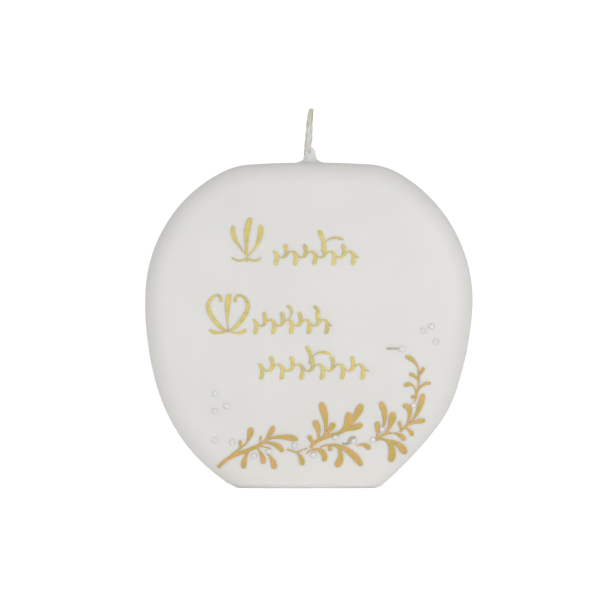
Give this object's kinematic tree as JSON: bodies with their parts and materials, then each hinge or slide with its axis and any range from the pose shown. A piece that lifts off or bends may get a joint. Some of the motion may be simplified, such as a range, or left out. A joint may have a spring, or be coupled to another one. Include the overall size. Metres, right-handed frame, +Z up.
{
  "type": "unity candle",
  "caption": "Free-standing white disc candle on a small flat foot, with a waxed wick, gold penwork, a raised gold leaf sprig and clear rhinestones on its front face.",
  "frame": {"origin": "centre of the object's box, on the surface the foot stands on", "axes": "+Z up along the wick, +Y to the back, so the decorated face looks along -Y"},
  "size_m": [0.1202, 0.0445, 0.1398],
  "materials": {
    "wax": "satin wax",
    "wick_cotton": "waxed braid",
    "tinplate": "bright",
    "pen_gold": "glitter paste",
    "leaf_gold": "metallic paint",
    "rhinestone_crystal": "faceted"
  },
  "bodies": {
    "root": {"dip_coat": "wax", "penwork_heart": "pen_gold", "penwork_lower_vine": "pen_gold", "penwork_middle_vine": "pen_gold", "penwork_tulip": "pen_gold", "penwork_upper_vine": "pen_gold", "rhinestone_left_1": "rhinestone_crystal", "rhinestone_left_2": "rhinestone_crystal", "rhinestone_left_3": "rhinestone_crystal", "rhinestone_left_4": "rhinestone_crystal", "rhinestone_left_5": "rhinestone_crystal", "rhinestone_lower_1": "rhinestone_crystal", "rhinestone_lower_2": "rhinestone_crystal", "rhinestone_lower_3": "rhinestone_crystal", "rhinestone_lower_4": "rhinestone_crystal", "rhinestone_lower_5": "rhinestone_crystal", "rhinestone_lower_6": "rhinestone_crystal", "rhinestone_right_1": "rhinestone_crystal", "rhinestone_right_2": "rhinestone_crystal", "rhinestone_right_3": "rhinestone_crystal", "rhinestone_right_4": "rhinestone_crystal", "rhinestone_upper_1": "rhinestone_crystal", "rhinestone_upper_2": "rhinestone_crystal", "rhinestone_upper_3": "rhinestone_crystal", "sprig_left_branch": "leaf_gold", "sprig_link_leaf": "leaf_gold", "sprig_loose_leaf": "leaf_gold", "sprig_lower_curl": "leaf_gold", "sprig_lower_scroll": "leaf_gold", "sprig_middle_branch": "leaf_gold", "sprig_right_branch": "leaf_gold", "sprig_right_spray": "leaf_gold", "sprig_small_leaf": "leaf_gold", "sprig_stone_loop": "leaf_gold", "sprig_tip_stroke": "leaf_gold", "sprig_upper_curl": "leaf_gold", "wax_core": "wax", "wick": "wick_cotton", "wick_sustainer": "tinplate"}
  },
  "joints": []
}
